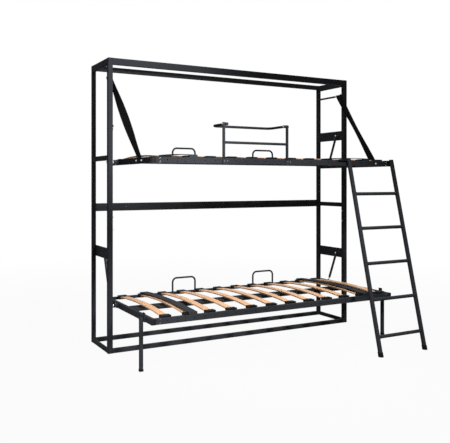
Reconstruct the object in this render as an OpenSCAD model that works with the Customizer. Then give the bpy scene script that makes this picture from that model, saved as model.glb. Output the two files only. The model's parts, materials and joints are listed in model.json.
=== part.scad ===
// Two-level fold down wall bed mechanism: a steel tube frame, two sprung-slat beds on pivots,
// gas struts, webbing straps, folding legs, a guard rail and a hook-on ladder.
// The origin is on the floor, at mid width, under the centre line of the bottom rear rail.
// +X is to the right seen from the room, +Y is towards the wall and +Z is up.

/* [Frame] */
// Overall width of the frame
frame_w = 2150; // [2110:5:2300]
// Overall height of the frame
frame_h = 2100; // [2090:5:2300]
// Overall depth of the frame, from the wall to the room
frame_d = 405; // [395:5:460]
// Width of a front upright
front_upright_w = 34; // [30:1:38]
// Width of a rear upright
rear_upright_w = 27; // [25:1:36]
// Depth of all four uprights
upright_d = 35; // [30:1:40]
// Wall of the frame tubes
tube_wall = 2; // [1.5:0.5:3]
// Corner radius of the frame tubes
tube_r = 2.5; // [1:0.5:4]
// Height of the top front rail
top_front_h = 46; // [40:1:50]
// Height of the top rear rail
top_rear_h = 36; // [30:1:45]
// Height of the deep top end rails
top_end_h = 50; // [40:1:60]
// Height of the bottom rails
bottom_rail_h = 30; // [25:1:40]
// Height of the middle rear rail
mid_rail_h = 60; // [40:1:70]
// Depth of the middle rear rail
mid_rail_d = 20; // [16:1:28]
// Height of the middle rear rail's centre above the floor
mid_rail_z = 1025; // [1010:5:1060]
// Height of the upper and middle end bars
end_bar_h = 36; // [30:1:50]
// Thickness of the end rails and end bars
end_bar_t = 20; // [16:1:20]
// Height of the upper end bar's centre above the floor
upper_bar_z = 1390; // [1370:5:1420]
// Height of the right end's middle bar above the floor, at its centre
mid_bar_z = 1020; // [1000:5:1050]
// Diameter of the wall fixing holes
wall_hole_d = 9; // [6:0.5:12]
// Spacing of the two wall fixing holes in a rail
wall_hole_spacing = 1600; // [1200:50:1800]

/* [Beds] */
// Gap between a bed's end and the front upright beside it
end_gap = 41; // [38:1:46]
// Width of a bed base, wall side to room side
bed_w = 880; // [840:5:890]
// Reach of a bed from its pivot to its room side
bed_reach = 640; // [620:5:645]
// Height of the bed rails
bed_rail_h = 40; // [36:1:45]
// Height of the slim rear rail, which is level with the other rails' tops
bed_rear_h = 20; // [16:1:30]
// Thickness of the bed rails
bed_rail_t = 25; // [20:1:28]
// Wall of the bed rails
bed_wall = 2; // [1.5:0.5:3]
// Height of the lower bed's underside above the floor
lower_bed_z = 315; // [300:5:330]
// Height from the lower bed to the upper bed
bed_spacing = 1023; // [1015:1:1035]
// Side of a corner block
corner_s = 30; // [28:1:36]
// Width of the centre beam
beam_w = 110; // [60:1:140]
// Height of the centre beam
beam_h = 20; // [15:1:24]
// Diameter of the holes along a front rail
rail_hole_d = 7; // [5:0.5:9]
// Pitch of the row of holes along a front rail
rail_hole_pitch = 78; // [60:1:100]
// Diameter of the panel fixing holes under a front rail
panel_hole_d = 6; // [4:0.5:8]
// Spacing of the two panel fixing holes under a front rail
panel_hole_spacing = 1500; // [1200:20:1700]

/* [Slats] */
// Pitch of the slats
slat_pitch = 162; // [140:1:170]
// Least distance from a bed's end to the first slat's centre
slat_first = 105; // [100:1:120]
// Width of a slat
slat_w = 50; // [40:1:55]
// Thickness of a slat
slat_t = 8; // [6:0.5:10]
// Rise of a slat from its ends to its middle
slat_crown = 22; // [10:1:30]
// Length of a slat holder along the rail
holder_l = 66; // [60:1:70]
// Depth of a slat holder from the rail's inner face
holder_d = 42; // [34:1:50]
// Height of a slat holder
holder_h = 26; // [22:1:30]
// Wall between a slat's end and the rail
holder_wall = 3; // [2:0.5:5]
// Depth of the holder's lip over the rail
holder_lip = 8; // [6:1:9]
// Thickness of the holder's lip
holder_lip_t = 4; // [3:0.5:6]
// Number of ribs on a holder's top
holder_ribs = 5; // [3:1:7]
// Width of a rib on a holder's top
holder_rib_w = 3; // [2:0.5:4]
// Height of a rib on a holder's top
holder_rib_h = 1.5; // [1:0.5:3]
// Clearance round a slat's end
slat_gap = 0.3; // [0.2:0.1:0.6]
// Width of a bowed cross bar
cross_w = 60; // [40:1:66]
// Thickness of a bowed cross bar
cross_t = 5; // [4:0.5:8]
// Rise of a cross bar from its ends to its middle
cross_crown = 15; // [14:1:24]
// Offset of a cross bar to the right of the slat below it
cross_offset = 20; // [0:1:30]

/* [Mattress hoops] */
// Diameter of the hoop rod
hoop_rod_d = 14; // [8:0.5:14]
// Width of a hoop between its legs' centre lines
hoop_w = 196; // [140:1:240]
// Height of a hoop above the rail
hoop_h = 106; // [80:1:150]
// Bend radius of a hoop's corners
hoop_r = 35; // [20:1:60]
// Distance of each hoop's centre from the bed's centre
hoop_x = 369; // [250:1:500]

/* [Pivots and struts] */
// Diameter of a pivot bolt
pivot_d = 12; // [10:0.5:14]
// Wall of a pivot bush
bush_wall = 2; // [1.5:0.5:3]
// Outer diameter of the pivot plate's boss
boss_d = 28; // [24:1:30]
// Thickness of a pivot plate
pivot_plate_t = 6; // [4:0.5:8]
// Running clearance of a pivot, on the radius
run_gap = 0.05; // [0.02:0.01:0.1]
// Thickness of a strut plate on the frame
strut_plate_t = 5; // [4:0.5:8]
// Height of a strut plate on the frame
strut_plate_h = 80; // [60:1:100]
// Reach of the short strut plate at the upper left
short_plate_l = 62; // [55:1:120]
// Distance from the bed's pivot back to the strut's stud
stud_back = 60; // [50:1:70]
// Height of the strut's stud above the bed's pivot
stud_rise = 265; // [255:1:280]
// Diameter of a strut stud
stud_d = 8; // [6:0.5:10]
// Distance from the bed's pivot back to the strut's lower end
strut_lever = 170; // [160:1:180]
// Distance from the bed's pivot back to the stud of the strut that hangs near the wall
rear_stud_back = 239; // [225:1:250]
// Height of the stud of the strut that hangs near the wall, above the bed's pivot
rear_stud_rise = 365; // [355:1:375]
// Distance from the bed's pivot back to the lower end of the strut that hangs near the wall
rear_lever = 93; // [85:1:105]
// Height of the strut's lower end above the bed's pivot
strut_lever_z = 5; // [0:1:8]
// Outer diameter of a strut tube
strut_d = 20; // [15:1:22]
// Length of rod and end fitting that shows below a strut tube when its bed is down
strut_show = 36; // [30:1:70]
// Wall of a strut tube
strut_wall = 2; // [1.5:0.5:3]
// Diameter of a strut rod
strut_rod_d = 8; // [6:0.5:10]
// Width of the strut's end eyes
eye_w = 14; // [10:1:16]

/* [Legs] */
// Side of a leg's square tube
leg_s = 22; // [16:1:24]
// Wall of a leg's tube
leg_wall = 2; // [1.5:0.5:3]
// Distance from the bed's room side back to a leg
leg_setback = 125; // [110:1:140]
// Height of a leg's foot
leg_foot_h = 14; // [10:1:20]
// Diameter of a leg pin
leg_pin_d = 8; // [6:0.5:10]

/* [Guard rail] */
// Width of the guard between its posts
guard_w = 508; // [460:1:560]
// Distance of the guard's centre to the left of the bed's centre
guard_left = 232; // [200:1:260]
// Height of the guard's hinge line above the rail
guard_h = 228; // [200:1:260]
// Height of the guard's middle rail above the bed rail
guard_mid_h = 104; // [80:1:130]
// Diameter of the guard's tubes
guard_d = 20; // [14:1:22]
// Reach of the guard's hoop from its hinge
guard_reach = 200; // [160:5:240]
// Bend radius of the guard's hoop
guard_r = 40; // [30:1:60]
// Diameter of the guard's hinge pins
guard_pin_d = 8; // [6:0.5:10]

/* [Ladder] */
// Distance from the bed's right end to the right stile
ladder_inset = 15; // [13:1:20]
// Width of the ladder between its stiles' centre lines
ladder_w = 420; // [418:1:424]
// Lean of the ladder from upright, in degrees
ladder_lean = 14; // [10:0.5:16]
// Diameter of a ladder stile
stile_d = 32; // [28:1:36]
// Wall of a ladder stile
stile_wall = 2; // [1.5:0.5:3]
// Diameter of a ladder rung
rung_d = 25; // [20:1:28]
// Number of rungs
rung_count = 5; // [4:1:5]
// Height from one rung to the next
rung_pitch = 250; // [240:5:260]
// Height of the lowest rung above the floor
rung_first = 130; // [110:5:150]
// Width of a ladder hook
ladder_hook_w = 24; // [20:1:26]
// Thickness of a ladder hook
ladder_hook_t = 4; // [3:0.5:5]
// Length of the ladder hook's lip behind the rail
ladder_lip = 32; // [20:1:38]
// Height of a ladder foot
ladder_foot_h = 30; // [20:1:40]

/* [Straps] */
// Width of a strap
strap_w = 62; // [45:1:64]
// Thickness of a strap
strap_t = 2.5; // [2:0.1:3]
// Distance from the frame's top down to the strap bar
strap_drop = 130; // [100:1:160]
// Diameter of the strap bar
strap_bar_d = 16; // [14:1:20]
// Distance from the upper bed's pivot forward to a strap's lower end
strap_reach = 435; // [400:1:470]

/* [Hidden] */
$fn = 48;

black = "#24272b";
plastic = "#141516";
beech = "#d9ae80";
steel = "#b9bdc0";
webbing = "#1c1c1e";

// A gap between faces that meet without touching, and an overlap for cuts
face_gap = 0.3;
cut = 1;

// Frame places
half_w = frame_w / 2;
front_y = -(frame_d - upright_d);
inner_x = half_w - front_upright_w;
plate_x = half_w - rear_upright_w;
end_y0 = front_y + upright_d / 2;
end_y1 = -upright_d / 2;
end_l = end_y1 - end_y0;
end_mid_y = (end_y0 + end_y1) / 2;
rear_rail_l = frame_w - 2 * rear_upright_w;
front_rail_l = frame_w - 2 * front_upright_w;

// Bed places
pivot_y = front_y;
bed_l = frame_w - 2 * (front_upright_w + end_gap);
bed_half = bed_l / 2;
bed_front = pivot_y - bed_reach;
bed_rear = bed_front + bed_w;
bed_mid_y = (bed_front + bed_rear) / 2;
upper_bed_z = lower_bed_z + bed_spacing;
rail_l = bed_l - 2 * corner_s;
end_rail_l = bed_w - 2 * corner_s;
rail_mid = bed_rail_h / 2;
slat_y0 = bed_front + bed_rail_t + holder_wall;
slat_span = bed_w - 2 * (bed_rail_t + holder_wall);
slat_count = floor((bed_l - 2 * slat_first) / slat_pitch) + 1;
slat_x0 = -(slat_count - 1) * slat_pitch / 2;
slat_sink = 2;
slat_end_z = bed_rail_h - slat_sink;
holder_bevel = 4;
holder_top = slat_end_z + holder_h / 2;
// What stands on a rail in front of the holders' lips keeps clear of them and of the rail's edge
lip_gap = 2;
rail_free = bed_rail_t - holder_lip - lip_gap;
cross_inset = 2;
cross_foot = rail_free - cross_inset;
cross_rise = holder_top + holder_rib_h + face_gap - bed_rail_h;
// Holes near a front rail's ends, at their distances from the bed's end
row_end = 290;
end_hole = 107;
end_pairs = [179, 233];
pair_half = 10;
hoop_edge = 1;

// Strut places, from the bed's pivot
strut_x = bed_half + end_gap / 2;
// A strut's hang is its stud's distance back, its stud's rise and its lever
front_hung = [stud_back, stud_rise, strut_lever];
rear_hung = [rear_stud_back, rear_stud_rise, rear_lever];
function strut_run(hang) = [hang[2] - hang[0], hang[1] - strut_lever_z];
function strut_len(hang) = norm(strut_run(hang));
function strut_tilt(hang) = atan2(strut_run(hang)[0], strut_run(hang)[1]);
function strut_tube_l(hang) = strut_len(hang) - strut_neck - strut_show;
// The bed, the side and the hang of each strut
struts = [
    [upper_bed_z, -1, front_hung],
    [upper_bed_z, 1, front_hung],
    [lower_bed_z, -1, rear_hung],
    [lower_bed_z, 1, front_hung]
];
eye_wall = 5;
rod_eye_wall = 4;
eye_d = stud_d + 2 * eye_wall;
rod_eye_d = strut_rod_d + 2 * rod_eye_wall;
neck_l = 10;
neck_d = eye_w - 2;
strut_neck = eye_d / 2 + neck_l;
gland_l = 12;
piston_l = 8;
piston_gap = 0.1;
piston_rest = 4;
rod_fitting_d = strut_rod_d + 4;

// Pivot places
collar_t = 6;
collar_d = boss_d - 2;
boss_clear = 1;
boss_l = end_gap - collar_t - boss_clear;
bush_in = 0.5;
bush_fit = 0.02;
bush_d = pivot_d + 2 * bush_wall;
pivot_screw_gap = 12;
pivot_screw_y = boss_d / 2 + pivot_screw_gap;
pivot_screw_z = 11;

// Latch studs, at their distances from the closed bed's upper edge
latch_d = 10;
latch_l = 9;
latch_below = [8, 96];

// Heads of bolts, as a diameter and a height
big_head = [12, 5];
small_head = [10, 4];
pin_head_t = 2.5;
stud_head_t = 3;
head_over = 5;

// Leg, guard, ladder and strap places
leg_y = bed_front + leg_setback;
leg_top = 14;
leg_gap = 6;
leg_x = bed_half + pivot_plate_t + leg_gap + leg_s / 2;
leg_bracket_l = 34;
leg_bracket_rise = 20;
foot_over = 4;
guard_y = bed_front - 2;
post_wall = 2;
bracket_w = 50;
bracket_t = 4;
bracket_left = 10;
bracket_screws = [4, 26];
corner_screw_x = 56;
corner_screw_z = 12;
guard_x = -guard_left;
post_h = guard_h + guard_d / 2;
guard_rod_d = guard_d - 2;
hoop_arm_x = guard_w / 2 - guard_d - face_gap;
ladder_x1 = bed_half - ladder_inset;
ladder_x0 = ladder_x1 - ladder_w;
ladder_top_z = upper_bed_z + bed_rail_h;
ladder_clear = 1.3;
ladder_top_y = bed_front - stile_d / 2 / cos(ladder_lean) - ladder_clear;
ladder_top_over = 12;
ladder_foot_d = stile_d + 5;
// The left hook lies half way between two slats, the right one between the last slat and the corner
hook_x0 = slat_x0 + (floor((ladder_x0 - slat_x0) / slat_pitch) + 0.5) * slat_pitch;
hook_x1 = (bed_half - corner_s + holder_l / 2 - slat_x0) / 2;
strap_bar_x = inner_x + strap_bar_d / 2;
strap_bar_z = frame_h - strap_drop;
strap_clear = 2;
strap_top_y = end_y0 + strap_clear + strap_w / 2;
strap_low_y = pivot_y - strap_reach;
strap_collar_l = 10;
strap_collar_d = strap_bar_d + 8;
strap_collar_gap = 2;
stub_l = strap_clear + strap_w + strap_collar_gap;
clamp_ear = 30;
clamp_l = strap_w + 2 * clamp_ear;
clamp_t = 4;
clamp_h = 22;
strap_side = 2;
strap_bend = 6;
strap_slice = 1;

// Shapes that repeat

module both_ends() {
    for (side = [0, 1])
        mirror([side, 0, 0])
            children();
}

module rounded_rect(w, h, r) {
    square([w - 2 * r, h], center = true);
    square([w, h - 2 * r], center = true);
    for (x = [-1, 1], y = [-1, 1])
        translate([x * (w / 2 - r), y * (h / 2 - r)])
            circle(r);
}

// A rectangular tube along Z with its foot at the origin
module tube(w, d, l, wall, r) {
    difference() {
        linear_extrude(l)
            rounded_rect(w, d, r);
        translate([0, 0, -cut])
            linear_extrude(l + 2 * cut)
                square([w - 2 * wall, d - 2 * wall], center = true);
    }
}

// A tube along X, centred, with its depth along Y and its height along Z
module tube_x(l, d, h, wall, r) {
    translate([-l / 2, 0, 0])
        rotate([0, 90, 0])
            tube(h, d, l, wall, r);
}

// A tube along Y, centred, with its thickness along X and its height along Z
module tube_y(l, t, h, wall, r) {
    translate([0, l / 2, 0])
        rotate([90, 0, 0])
            tube(t, h, l, wall, r);
}

// A round bar along X that starts at the origin
module rod_x(d, l) {
    rotate([0, 90, 0])
        cylinder(d = d, h = l);
}

// A round bar along Y that starts at the origin
module rod_y(d, l) {
    rotate([-90, 0, 0])
        cylinder(d = d, h = l);
}

// An upside-down U of round rod in the XZ plane, with its feet at Z = 0
module rod_hoop(w, h, r, d) {
    for (side = [-1, 1])
        translate([side * w / 2, 0, 0])
            cylinder(d = d, h = h - r);
    translate([-w / 2 + r, 0, h])
        rod_x(d, w - 2 * r);
    for (side = [0, 1])
        mirror([side, 0, 0])
            translate([w / 2 - r, 0, h - r])
                rotate([90, 0, 0])
                    rotate_extrude(angle = 90)
                        translate([r, 0])
                            circle(d = d);
}

// A flat bar bowed upwards, in the YZ plane from Y = 0, with its lower edge at Z = 0 at both ends
module bowed_profile(span, crown, t) {
    radius = span * span / (8 * crown) + crown / 2;
    intersection() {
        difference() {
            translate([span / 2, crown - radius])
                circle(radius + t, $fn = 200);
            translate([span / 2, crown - radius])
                circle(radius, $fn = 200);
        }
        translate([0, -t])
            square([span, crown + 3 * t]);
    }
}

// Stands a profile drawn in the YZ plane up, w wide along X and centred there
module across(w) {
    translate([-w / 2, 0, 0])
        rotate([90, 0, 90])
            linear_extrude(w)
                children();
}

module pan_head(head) {
    cylinder(d1 = head[0], d2 = head[0] * 0.7, h = head[1]);
}

// Frame

module front_uprights() {
    color(black)
        both_ends()
            translate([half_w - front_upright_w / 2, front_y, 0])
                upright(front_upright_w);
}

module rear_uprights() {
    color(black)
        both_ends()
            translate([half_w - rear_upright_w / 2, 0, 0])
                upright(rear_upright_w);
}

// A tube that is closed at the top
module upright(w) {
    difference() {
        linear_extrude(frame_h)
            rounded_rect(w, upright_d, tube_r);
        translate([0, 0, -cut])
            linear_extrude(frame_h - tube_wall + cut)
                square([w - 2 * tube_wall, upright_d - 2 * tube_wall], center = true);
    }
}

module top_front_rail() {
    color(black)
        translate([0, front_y, frame_h - top_front_h / 2])
            tube_x(front_rail_l, upright_d, top_front_h, tube_wall, tube_r);
}

module wall_holes(d, z) {
    for (side = [-1, 1])
        translate([side * wall_hole_spacing / 2, -d / 2 - cut, z])
            rod_y(wall_hole_d, d + 2 * cut);
}

module top_rear_rail() {
    color(black)
        difference() {
            translate([0, 0, frame_h - top_rear_h / 2])
                tube_x(rear_rail_l, upright_d, top_rear_h, tube_wall, tube_r);
            wall_holes(upright_d, frame_h - top_rear_h / 2);
        }
}

module mid_rear_rail() {
    color(black)
        difference() {
            translate([0, 0, mid_rail_z])
                tube_x(rear_rail_l, mid_rail_d, mid_rail_h, tube_wall, tube_r);
            wall_holes(mid_rail_d, mid_rail_z);
        }
}

module bottom_front_rail() {
    color(black)
        translate([0, front_y, bottom_rail_h / 2])
            tube_x(front_rail_l, upright_d, bottom_rail_h, tube_wall, tube_r);
}

module bottom_rear_rail() {
    color(black)
        translate([0, 0, bottom_rail_h / 2])
            tube_x(rear_rail_l, upright_d, bottom_rail_h, tube_wall, tube_r);
}

// A bar from upright to upright at the right end
module end_bar(h, z) {
    translate([half_w - end_bar_t / 2, end_mid_y, z])
        tube_y(end_l, end_bar_t, h, tube_wall, tube_r);
}

module top_end_rails() {
    color(black)
        both_ends()
            end_bar(top_end_h, frame_h - top_end_h / 2);
}

// Only the right end has a middle bar
module end_bars() {
    color(black) {
        both_ends()
            end_bar(end_bar_h, upper_bar_z);
        end_bar(end_bar_h, mid_bar_z);
    }
}

module bottom_end_rails() {
    color(black)
        both_ends()
            end_bar(bottom_rail_h, bottom_rail_h / 2);
}

// Turns what is drawn for the right end to the side that is asked for
module on_side(side) {
    mirror([side > 0 ? 0 : 1, 0, 0])
        children();
}

// A plate from the front upright of one end towards the rear one, centred on a stud's height.
// All but the upper left one reach the rear upright.
module strut_plates() {
    color(black)
        for (strut = struts) {
            short = strut[0] == upper_bed_z && strut[1] < 0;
            on_side(strut[1])
                translate([plate_x, end_y0, strut[0] + rail_mid + strut[2][1] - strut_plate_h / 2])
                    cube([strut_plate_t, short ? short_plate_l : end_l, strut_plate_h]);
        }
}

module strap_bar(l) {
    translate([strap_bar_x, end_y0, strap_bar_z])
        rod_y(strap_bar_d, l);
}

// The right bar runs from upright to upright, the left one is a stub behind the front upright
module strap_bars() {
    color(black) {
        strap_bar(end_l);
        on_side(-1)
            strap_bar(stub_l);
    }
}

// A collar that keeps the strap in place on the right bar
module strap_collars() {
    color(steel)
        translate([strap_bar_x, strap_top_y + strap_w / 2 + strap_collar_gap, strap_bar_z])
            difference() {
                rod_y(strap_collar_d, strap_collar_l);
                translate([0, -cut, 0])
                    rod_y(strap_bar_d, strap_collar_l + 2 * cut);
            }
}

module at_pivots(bed_z) {
    both_ends()
        translate([0, pivot_y, bed_z + rail_mid])
            children();
}

module pivot_bolts() {
    color(steel)
        for (bed_z = [lower_bed_z, upper_bed_z])
            at_pivots(bed_z) {
                translate([bed_half + boss_clear, 0, 0])
                    rod_x(pivot_d, end_gap - boss_clear);
                translate([inner_x - collar_t, 0, 0])
                    rod_x(collar_d, collar_t);
            }
}

module strut_studs() {
    head_x = strut_x - eye_w / 2 - face_gap - stud_head_t;
    collar_x = strut_x + eye_w / 2 + face_gap;
    color(steel)
        for (strut = struts)
            on_side(strut[1])
                translate([0, pivot_y + strut[2][0], strut[0] + rail_mid + strut[2][1]]) {
                    translate([head_x, 0, 0])
                        rod_x(stud_d, plate_x - head_x);
                    translate([head_x, 0, 0])
                        rod_x(stud_d + head_over, stud_head_t);
                    translate([collar_x, 0, 0])
                        rod_x(stud_d + head_over, plate_x - collar_x);
                }
}

// Studs that the closed lower bed latches on
module latch_studs() {
    color(steel)
        both_ends()
            for (below = latch_below)
                translate([inner_x - latch_l, front_y, lower_bed_z + rail_mid + bed_reach - below])
                    rod_x(latch_d, latch_l);
}

// Bed bases

module rail_hole(x, z) {
    translate([x, bed_front - cut, rail_mid + z])
        rod_y(rail_hole_d, bed_wall + 2 * cut);
}

// A row of single holes, with a single hole and two pairs outside it at both ends
module bed_front_rail() {
    row_n = floor((bed_half - row_end) / rail_hole_pitch);
    difference() {
        translate([0, bed_front + bed_rail_t / 2, rail_mid])
            tube_x(rail_l, bed_rail_t, bed_rail_h, bed_wall, tube_r);
        for (i = [-row_n : row_n])
            rail_hole(i * rail_hole_pitch, 0);
        both_ends() {
            rail_hole(bed_half - end_hole, 0);
            for (x = end_pairs, z = [-pair_half, pair_half])
                rail_hole(bed_half - x, z);
        }
        for (side = [-1, 1])
            translate([side * panel_hole_spacing / 2, bed_front + bed_rail_t / 2, -cut])
                cylinder(d = panel_hole_d, h = bed_wall + 2 * cut);
    }
}

module bed_rear_rail() {
    translate([0, bed_rear - bed_rail_t / 2, bed_rail_h - bed_rear_h / 2])
        tube_x(rail_l, bed_rail_t, bed_rear_h, bed_wall, tube_r);
}

module bed_end_rails() {
    both_ends()
        translate([bed_half - bed_rail_t / 2, bed_mid_y, rail_mid])
            tube_y(end_rail_l, bed_rail_t, bed_rail_h, bed_wall, tube_r);
}

module bed_corner_blocks() {
    for (y = [bed_front + corner_s / 2, bed_rear - corner_s / 2])
        both_ends()
            translate([bed_half - corner_s / 2, y, 0])
                linear_extrude(bed_rail_h)
                    rounded_rect(corner_s, corner_s, tube_r);
}

module bed_centre_beam() {
    translate([0, bed_mid_y, bed_rail_h - bed_wall - beam_h / 2])
        tube_x(bed_l - 2 * bed_rail_t, beam_w, beam_h, bed_wall, tube_r);
}

function slat_x(i) = slat_x0 + i * slat_pitch;

module bed_slats() {
    for (i = [0 : slat_count - 1])
        translate([slat_x(i), slat_y0, slat_end_z - slat_t / 2])
            across(slat_w)
                bowed_profile(slat_span, slat_crown, slat_t);
}

// One holder, on the front rail's inner face, with a pocket for the slat's end
module slat_holder() {
    inner_y = bed_front + bed_rail_t;
    base_z = holder_top - holder_h;
    top_z = holder_top;
    rib_pitch = holder_l / (holder_ribs + 0.5);
    difference() {
        union() {
            across(holder_l)
                polygon([
                    [inner_y, base_z],
                    [inner_y + holder_d - 3 * holder_bevel, base_z],
                    [inner_y + holder_d, base_z + 2 * holder_bevel],
                    [inner_y + holder_d, top_z - holder_bevel / 2],
                    [inner_y + holder_d - holder_bevel, top_z],
                    [inner_y - holder_lip, top_z],
                    [inner_y - holder_lip, top_z - holder_lip_t],
                    [inner_y - holder_lip + holder_bevel, bed_rail_h],
                    [inner_y, bed_rail_h]
                ]);
            for (i = [0 : holder_ribs - 1])
                translate([(i - (holder_ribs - 1) / 2) * rib_pitch, 0, 0])
                    across(holder_rib_w)
                        translate([inner_y - holder_lip + holder_bevel / 2, top_z - cut])
                            square([holder_lip + holder_d - 2 * holder_bevel, holder_rib_h + cut]);
        }
        translate([0, slat_y0 - slat_gap, slat_end_z - slat_t / 2 - slat_gap])
            across(slat_w + 2 * slat_gap)
                bowed_profile(slat_span + 2 * slat_gap, slat_crown, slat_t + 2 * slat_gap);
    }
}

module bed_slat_holders() {
    for (i = [0 : slat_count - 1])
        translate([slat_x(i), 0, 0]) {
            slat_holder();
            translate([0, 2 * bed_mid_y, 0])
                mirror([0, 1, 0])
                    slat_holder();
        }
}

// A bowed bar on two feet that carry it over the slat's holders
module cross_bar() {
    span = bed_w - 2 * cross_inset;
    translate([0, bed_front + cross_inset, bed_rail_h])
        across(cross_w) {
            for (y = [0, span - cross_foot])
                translate([y, 0])
                    square([cross_foot, cross_rise + cross_t]);
            translate([0, cross_rise])
                bowed_profile(span, cross_crown, cross_t);
        }
}

module bed_cross_bars() {
    for (i = [1, slat_count - 2])
        translate([slat_x(i) + cross_offset, 0, 0])
            cross_bar();
}

module bed_mattress_hoops() {
    for (side = [-1, 1])
        translate([side * hoop_x, bed_rear - hoop_rod_d / 2 - hoop_edge, bed_rail_h])
            rod_hoop(hoop_w, hoop_h, hoop_r, hoop_rod_d);
}

// The plate on a bed's end rail that holds the pivot and the strut's lower end
module bed_pivot_plates() {
    plate_r = rail_mid - 1;
    at_pivots(0)
        difference() {
            union() {
                translate([bed_half, 0, 0])
                    rotate([90, 0, 90])
                        linear_extrude(pivot_plate_t) {
                            circle(plate_r);
                            translate([0, -plate_r])
                                square([strut_lever, 2 * plate_r]);
                            translate([strut_lever, 0])
                                circle(plate_r);
                        }
                translate([bed_half, 0, 0])
                    rod_x(boss_d, boss_l);
            }
            translate([bed_half - cut, 0, 0])
                rod_x(bush_d, end_gap);
        }
}

module bed_pivot_bushes() {
    at_pivots(0)
        translate([bed_half + bush_in, 0, 0])
            difference() {
                rod_x(bush_d - 2 * bush_fit, boss_l - bush_in);
                translate([-cut, 0, 0])
                    rod_x(pivot_d + 2 * run_gap, end_gap);
            }
}

module in_upper() {
    translate([0, 0, upper_bed_z])
        children();
}

module in_lower() {
    translate([0, 0, lower_bed_z])
        children();
}

module upper_front_rail() { color(black) in_upper() bed_front_rail(); }
module upper_rear_rail() { color(black) in_upper() bed_rear_rail(); }
module upper_end_rails() { color(black) in_upper() bed_end_rails(); }
module upper_corner_blocks() { color(plastic) in_upper() bed_corner_blocks(); }
module upper_centre_beam() { color(black) in_upper() bed_centre_beam(); }
module upper_slats() { color(beech) in_upper() bed_slats(); }
module upper_slat_holders() { color(plastic) in_upper() bed_slat_holders(); }
module upper_cross_bars() { color(black) in_upper() bed_cross_bars(); }
module upper_mattress_hoops() { color(black) in_upper() bed_mattress_hoops(); }
module upper_pivot_plates() { color(black) in_upper() bed_pivot_plates(); }
module upper_pivot_bushes() { color(plastic) in_upper() bed_pivot_bushes(); }

module lower_front_rail() { color(black) in_lower() bed_front_rail(); }
module lower_rear_rail() { color(black) in_lower() bed_rear_rail(); }
module lower_end_rails() { color(black) in_lower() bed_end_rails(); }
module lower_corner_blocks() { color(plastic) in_lower() bed_corner_blocks(); }
module lower_centre_beam() { color(black) in_lower() bed_centre_beam(); }
module lower_slats() { color(beech) in_lower() bed_slats(); }
module lower_slat_holders() { color(plastic) in_lower() bed_slat_holders(); }
module lower_cross_bars() { color(black) in_lower() bed_cross_bars(); }
module lower_mattress_hoops() { color(black) in_lower() bed_mattress_hoops(); }
module lower_pivot_plates() { color(black) in_lower() bed_pivot_plates(); }
module lower_pivot_bushes() { color(plastic) in_lower() bed_pivot_bushes(); }

// Guard rail on the upper bed

module at_posts() {
    for (side = [-1, 1])
        translate([guard_x + side * guard_w / 2, guard_y, upper_bed_z + bed_rail_h])
            children();
}

module guard_posts() {
    color(black)
        at_posts()
            difference() {
                cylinder(d = guard_d, h = post_h);
                translate([0, 0, -cut])
                    cylinder(d = guard_d - 2 * post_wall, h = post_h - post_wall + cut);
                translate([-guard_d, 0, guard_h])
                    rod_x(guard_pin_d, 2 * guard_d);
            }
}

module guard_mid_rail() {
    color(black)
        difference() {
            translate([guard_x - guard_w / 2, guard_y, upper_bed_z + bed_rail_h + guard_mid_h])
                rod_x(guard_rod_d, guard_w);
            at_posts()
                cylinder(d = guard_d, h = post_h);
        }
}

module guard_brackets() {
    color(black)
        at_posts()
            translate([-bracket_left, bed_front - bracket_t - guard_y, -bed_rail_h])
                cube([bracket_w, bracket_t, bed_rail_h]);
}

module guard_pins() {
    pin_x0 = hoop_arm_x - guard_d / 2 - face_gap - pin_head_t;
    pin_x1 = guard_w / 2 + guard_d / 2;
    color(steel)
        for (side = [-1, 1])
            translate([guard_x, guard_y, upper_bed_z + bed_rail_h + guard_h])
                on_side(side)
                    translate([pin_x0, 0, 0]) {
                        rod_x(guard_pin_d, pin_x1 - pin_x0);
                        rod_x(guard_pin_d + head_over, pin_head_t);
                        translate([pin_x1 - pin_x0, 0, 0])
                            rod_x(guard_pin_d + head_over, pin_head_t);
                    }
}

// A U of tube that lies inwards from the hinge line at the posts' tops
module guard_hoop() {
    hinge_z = upper_bed_z + bed_rail_h + guard_h;
    color(black)
        difference() {
            union() {
                translate([guard_x, guard_y, hinge_z])
                    rotate([-90, 0, 0])
                        rod_hoop(2 * hoop_arm_x, guard_reach, guard_r, guard_rod_d);
                for (side = [-1, 1])
                    translate([guard_x + side * hoop_arm_x - guard_d / 2, guard_y, hinge_z])
                        rod_x(guard_d, guard_d);
            }
            for (side = [-1, 1])
                translate([guard_x + side * hoop_arm_x - guard_d, guard_y, hinge_z])
                    rod_x(guard_pin_d + 2 * run_gap, 2 * guard_d);
        }
}

// A bar over each strap's end, bolted to the upper bed's end rail on both sides of the strap
module strap_clamps() {
    slot_t = strap_t + 2 * face_gap;
    color(black)
        in_upper()
            both_ends()
                translate([bed_half, strap_low_y, rail_mid])
                    difference() {
                        translate([0, -clamp_l / 2, -clamp_h / 2])
                            cube([slot_t + clamp_t, clamp_l, clamp_h]);
                        translate([-cut, -strap_w / 2 - strap_side, -clamp_h])
                            cube([slot_t + cut, strap_w + 2 * strap_side, 2 * clamp_h]);
                    }
}

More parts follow.
